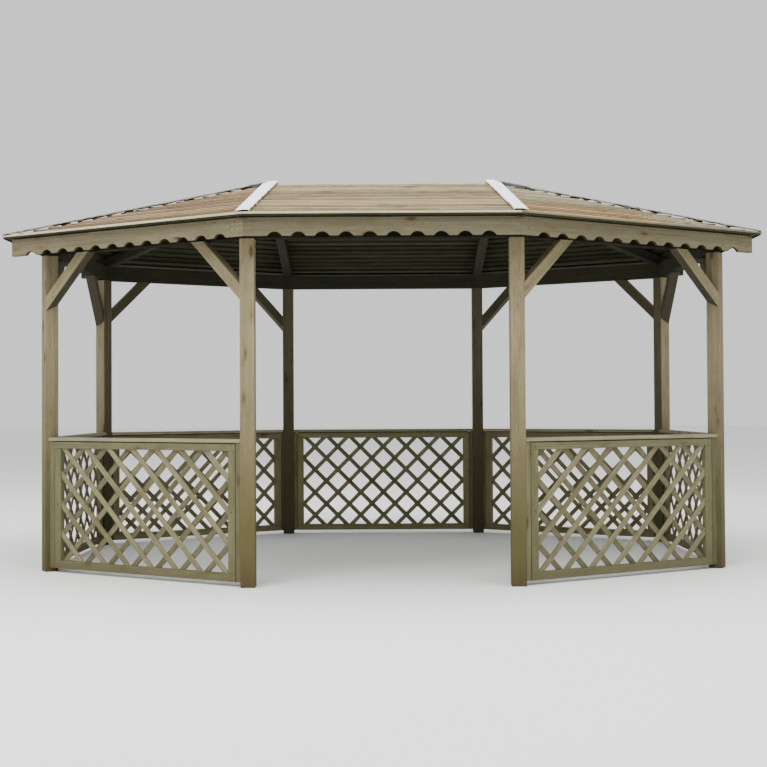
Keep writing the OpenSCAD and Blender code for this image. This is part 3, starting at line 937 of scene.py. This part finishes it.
# Two of the boards are made up to length with a short piece, butted to the long one.
VALANCE_JOINTS = {"front_left": [0.862], "front_right": [0.83]}
JOINT_GAP = 1.5 * MM

# Greyish tan with brown knots in front, darkened overall as painted shade from the eaves.
# Faces that look in or down, the back and the sawn cut-outs are painted dark as shade.
valance_pine = treated_softwood("valance_pine", "#827a61", "#5e563f", "#716c56", inward_shade=0.8,
                                underside_shade=0.8, knots=1.4, knot_share=0.55, vary=0.2)
shaded_sawn_edge = treated_softwood("shaded_sawn_valance_edge", "#38341f", "#262414", "#302d1d", knots=0.2,
                             gloss=0.05)
VALANCE_TONES = {"front": 0.35, "front_left": 0.75, "front_right": 0.5}


def arc(centre, radius, first, last, steps):
    """Points along an arc, by angles in radians."""
    angles = [first + (last - first) * i / steps for i in range(steps + 1)]
    return [(centre[0] + radius * math.cos(a), centre[1] + radius * math.sin(a)) for a in angles]


def scalloped_edge(cutouts, bottom):
    """The bottom edge from left to right, as points of x and z."""
    ease_x = math.sqrt((CUTOUT_RADIUS + EASE) ** 2 - (CUTOUT_DROP + EASE) ** 2)
    touch = math.atan2(CUTOUT_DROP + EASE, ease_x)
    edge = []
    for i in range(cutouts):
        x = (i - (cutouts - 1) / 2) * CUTOUT_PITCH
        edge += arc((x - ease_x, bottom + EASE), EASE, -math.pi / 2, -touch, 4)
        cutout = arc((x, bottom - CUTOUT_DROP), CUTOUT_RADIUS, math.pi - touch, touch, ARC_STEPS)
        edge += cutout[1:-1]
        edge += arc((x + ease_x, bottom + EASE), EASE, touch - math.pi, -math.pi / 2, 4)
    return edge


for side, cutouts in (("front", 10), ("front_right", 12), ("front_left", 12)):
    outer = reach(side, VALANCE_RADIUS)
    inner = outer - VALANCE_THICK
    place = on_side(side)
    bottom, top = valance_low[2], valance_high[2] + 1 * MM
    half_out = outer * math.tan(HALF_SECTOR) if SIDES[side][0] else HALF_BAY
    half_in = inner * math.tan(HALF_SECTOR) if SIDES[side][0] else HALF_BAY
    edge = scalloped_edge(cutouts, bottom)
    outline = [(-half_out, top), (-half_out, bottom)] + edge + [(half_out, bottom), (half_out, top)]
    part = bmesh.new()
    front = [part.verts.new((x, -outer, z)) for x, z in outline]
    squeeze = half_in / half_out
    back = [
        part.verts.new((x * squeeze if abs(x) == half_out else x, -inner, z)) for x, z in outline
    ]
    count = len(outline)
    for i in range(count):
        j = (i + 1) % count
        part.faces.new((front[i], back[i], back[j], front[j]))
    faces = [part.faces.new(front[::-1]), part.faces.new(back)]
    bmesh.ops.recalc_face_normals(part, faces=part.faces)
    rim = [line for line in part.edges if line.calc_face_angle(0) > 1.0]
    bmesh.ops.bevel(part, geom=rim, offset=1.5 * MM, segments=2, profile=0.5, affect="EDGES")
    valance = Carpentry()
    ends = [-half_out - MM, *VALANCE_JOINTS.get(side, ()), half_out + MM]
    for first, last in zip(ends, ends[1:]):
        length = part.copy()
        saw(length, (first + JOINT_GAP / 2, 0, 0), (-1, 0, 0))
        saw(length, (last - JOINT_GAP / 2, 0, 0), (1, 0, 0))
        bmesh.ops.triangulate(length, faces=[face for face in length.faces if len(face.verts) > 4])
        bmesh.ops.transform(length, matrix=place, verts=length.verts)
        length.normal_update()
        tone = VALANCE_TONES[side] + (0.25 if last - first < 0.3 else 0)
        valance.take(length, place, tone=tone, shaded_slot=1)
    part.free()
    # A packing strip on top, set back, that closes the room up to the boards, coloured dark as
    # painted shade.
    valance.timber(place, (-half_in + 4 * MM, -outer + 5 * MM, top - 8 * MM),
                   (half_in - 4 * MM, -inner - 1 * MM, top + 8 * MM), 1 * MM, slot=1)
    face = place @ Matrix.Translation((0, -outer, 0))
    for x in (-half_out + 60 * MM, half_out - 60 * MM, *VALANCE_JOINTS.get(side, ())):
        for z in (bottom + 45 * MM, bottom + 90 * MM):
            valance.nail(face, x + (25 * MM if abs(x) < half_out - 61 * MM else 0), z, 2)
    valance.piece(f"valance_{side}_board", [valance_pine, shaded_sawn_edge, galvanised_steel],
                  "valance_boards", f"valance_{side}")


# ---- Floor, light and camera ----
# A pale matt floor under a plain bright sky, with two large square lamps: a soft one from the
# front left, and a stronger one overhead.

FLOOR_HALF = 60.0
floor_mesh = bpy.data.meshes.new("floor")
floor_mesh.from_pydata(
    [(x * FLOOR_HALF, y * FLOOR_HALF, 0) for x, y in ((-1, -1), (1, -1), (1, 1), (-1, 1))],
    [], [(0, 1, 2, 3)]
)
floor = bpy.data.objects.new("floor", floor_mesh)
bpy.context.collection.objects.link(floor)
pale = bpy.data.materials.new("pale_floor")
pale.use_nodes = True
pale.node_tree.nodes["Principled BSDF"].inputs["Base Color"].default_value = linear("#f2f2f0")
pale.node_tree.nodes["Principled BSDF"].inputs["Roughness"].default_value = 0.9
floor_mesh.materials.append(pale)

world = bpy.data.worlds.new("studio")
bpy.context.scene.world = world
world.use_nodes = True
sky = world.node_tree.nodes["Background"]
sky.inputs["Color"].default_value = (0.98, 0.99, 1.0, 1)
sky.inputs["Strength"].default_value = 1.0


def soft_light(name, place, aim, size, power):
    """A large square lamp that looks at a point."""
    data = bpy.data.lights.new(name, "AREA")
    data.size = size
    data.energy = power
    lamp = bpy.data.objects.new(name, data)
    lamp.location = place
    lamp.rotation_euler = (Vector(aim) - Vector(place)).to_track_quat("-Z", "Y").to_euler()
    bpy.context.collection.objects.link(lamp)


soft_light("front_left_softbox", (-5, -10, 9), (0, 0, 1.5), 6, 650)
soft_light("overhead_softbox", (0, -2, 9), (0, -1, 0), 9, 1500)

# The camera stands in front at chest height, aimed a degree up and rolled a little.
CAMERA_PLACE = (0.005, -9.38, 1.094)
CAMERA_RISE, CAMERA_ROLL = 0.0187, -0.0052

camera_data = bpy.data.cameras.new("camera")
camera_data.sensor_width = 36
camera_data.lens = 59.28
camera = bpy.data.objects.new("camera", camera_data)
camera.matrix_world = (
    Matrix.Translation(CAMERA_PLACE) @ Matrix.Rotation(math.pi / 2 + CAMERA_RISE, 4, "X")
    @ Matrix.Rotation(CAMERA_ROLL, 4, "Z")
)
bpy.context.collection.objects.link(camera)
bpy.context.scene.camera = camera
